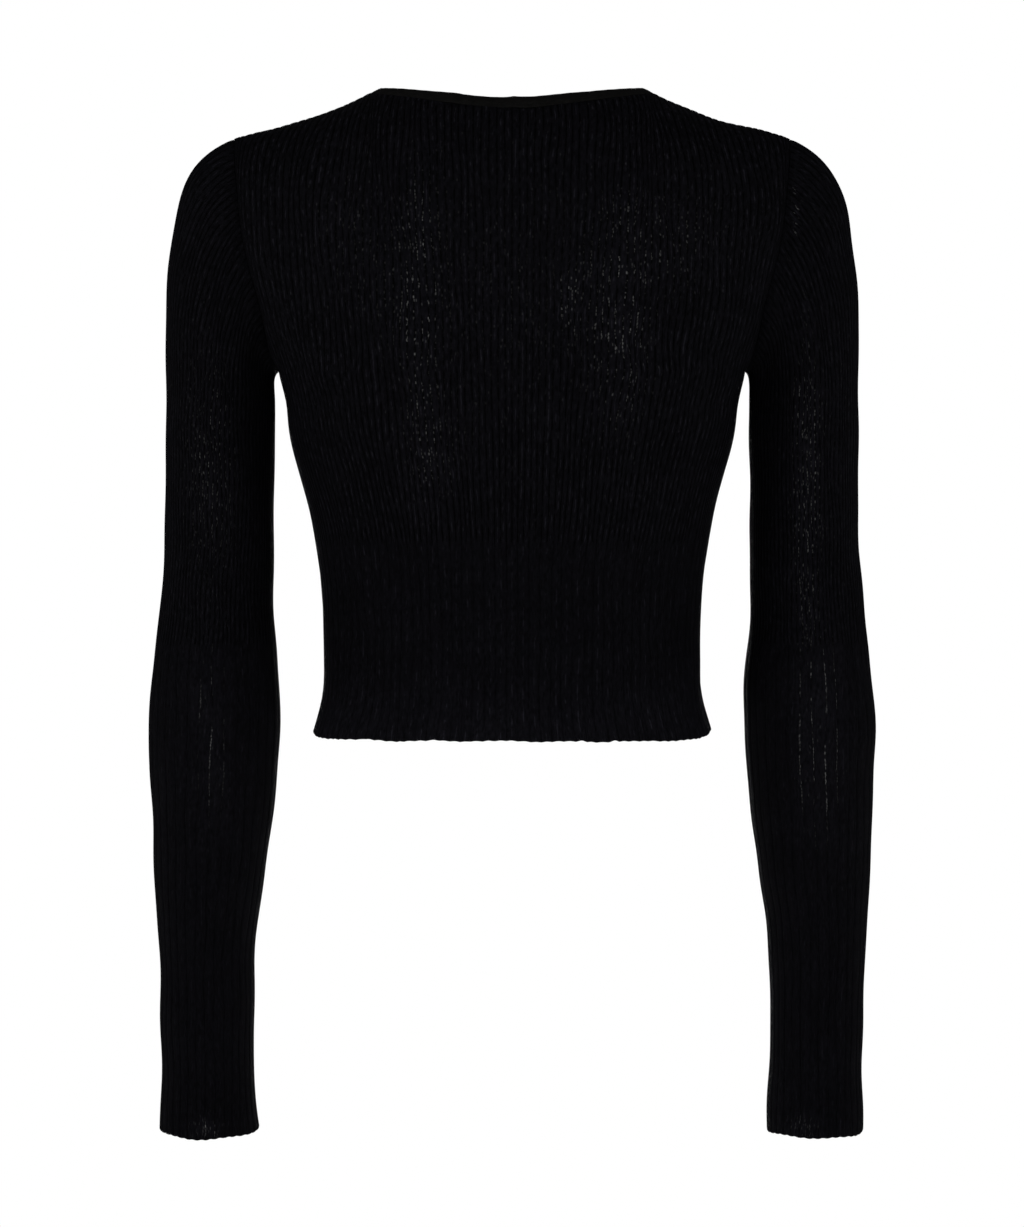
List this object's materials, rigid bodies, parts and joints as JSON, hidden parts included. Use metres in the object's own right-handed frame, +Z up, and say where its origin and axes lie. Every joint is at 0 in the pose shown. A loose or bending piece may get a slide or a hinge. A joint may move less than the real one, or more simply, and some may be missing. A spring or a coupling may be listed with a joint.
{
  "type": "cropped rib-knit cardigan",
  "caption": "Cropped, close-fitting rib-knit cardigan with set-in long sleeves and a buttoned front, hollow and filled out as if worn.",
  "frame": {"origin": "midway between the two high shoulder points, at the level of the top of the neck trim, where the wearer's shoulders carry the garment", "axes": "+Z up; the front faces -Y and the back faces +Y; the wearer's left is +X"},
  "size_m": [0.4448, 0.2192, 0.642],
  "materials": {
    "rib_knit": "fine black rib knit, matt with a faint sheen along the ribs",
    "button": "black, softly polished"
  },
  "bodies": {
    "root": {"back_panel": "rib_knit", "front_left": "rib_knit", "front_right": "rib_knit", "sleeve_left": "rib_knit", "sleeve_right": "rib_knit", "neck_trim": "rib_knit", "button_band": "rib_knit", "buttonhole_band": "rib_knit", "button_1": "button", "button_2": "button", "button_3": "button", "button_4": "button", "button_5": "button", "button_6": "button", "button_7": "button"}
  },
  "joints": []
}
